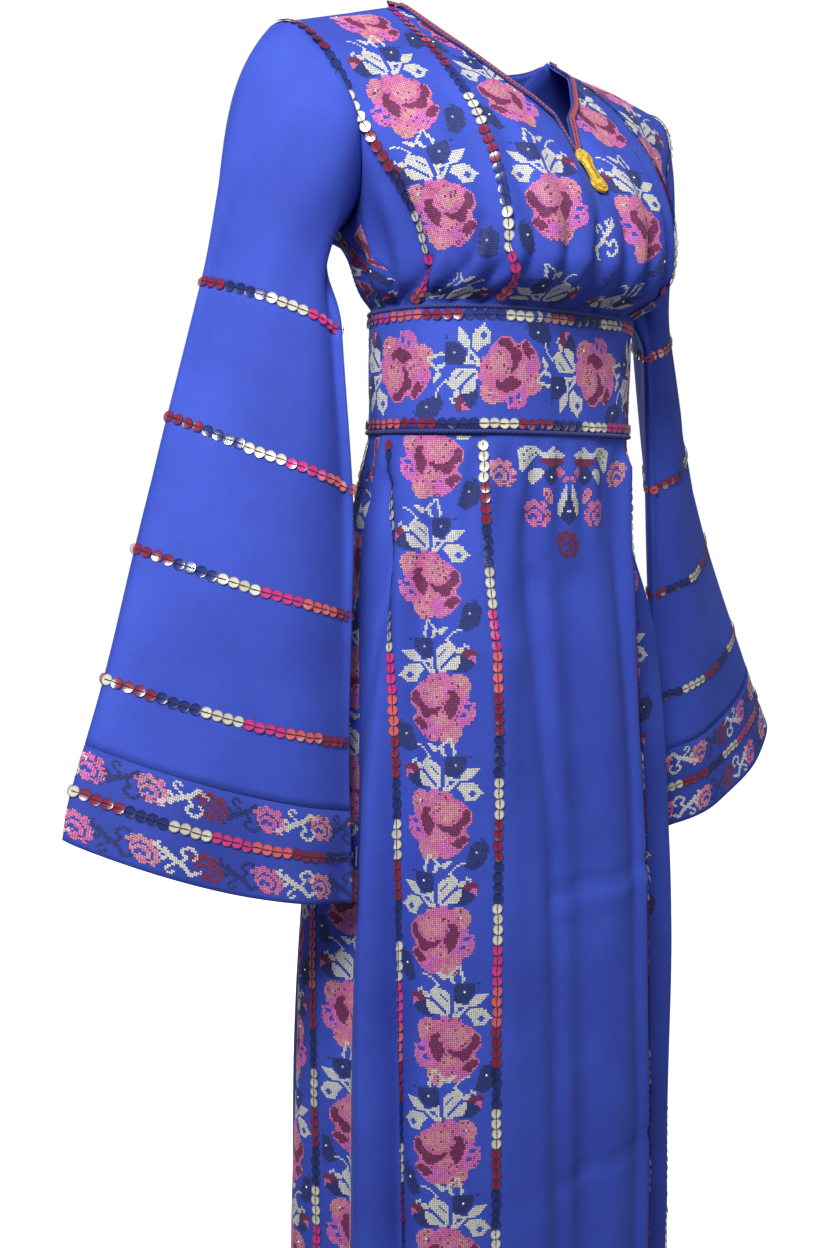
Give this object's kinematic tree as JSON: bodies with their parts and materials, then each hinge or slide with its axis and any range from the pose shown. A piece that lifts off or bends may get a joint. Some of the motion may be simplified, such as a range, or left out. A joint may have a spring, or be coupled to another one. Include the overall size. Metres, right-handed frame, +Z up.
{
  "type": "palestinian thobe dress",
  "caption": "Long belted dress with wide bell sleeves, embroidered front and side panels, cuff bands and a clasped neck slit, filled out with no wearer.",
  "frame": {"origin": "the middle of the neck opening at the height of the shoulder line, where the wearer's shoulders hold the dress", "axes": "+Z up along the wearer's height, -Y towards the front of the dress, +X towards the wearer's left"},
  "size_m": [1.064, 0.3716, 1.4772],
  "materials": {
    "blue_cloth": "matt royal blue crepe",
    "cuff_cloth": "matt blue crepe, a shade deeper",
    "piping": "corded satin",
    "edging_thread": "coral chain stitch",
    "gold_metal": "polished gold tone"
  },
  "bodies": {
    "root": {"front_centre": "blue_cloth", "front_strip_right": "blue_cloth", "front_strip_left": "blue_cloth", "side_front_right": "blue_cloth", "side_front_left": "blue_cloth", "side_panel_right": "blue_cloth", "side_panel_left": "blue_cloth", "back": "blue_cloth", "sleeve_upper_right": "blue_cloth", "sleeve_upper_left": "blue_cloth", "sleeve_lower_right": "blue_cloth", "sleeve_lower_left": "blue_cloth", "cuff_band_right": "cuff_cloth", "cuff_band_left": "cuff_cloth", "belt": "blue_cloth", "belt_piping_top": "piping", "belt_piping_bottom": "piping", "neck_trim": "edging_thread", "clasp": "gold_metal"}
  },
  "joints": []
}
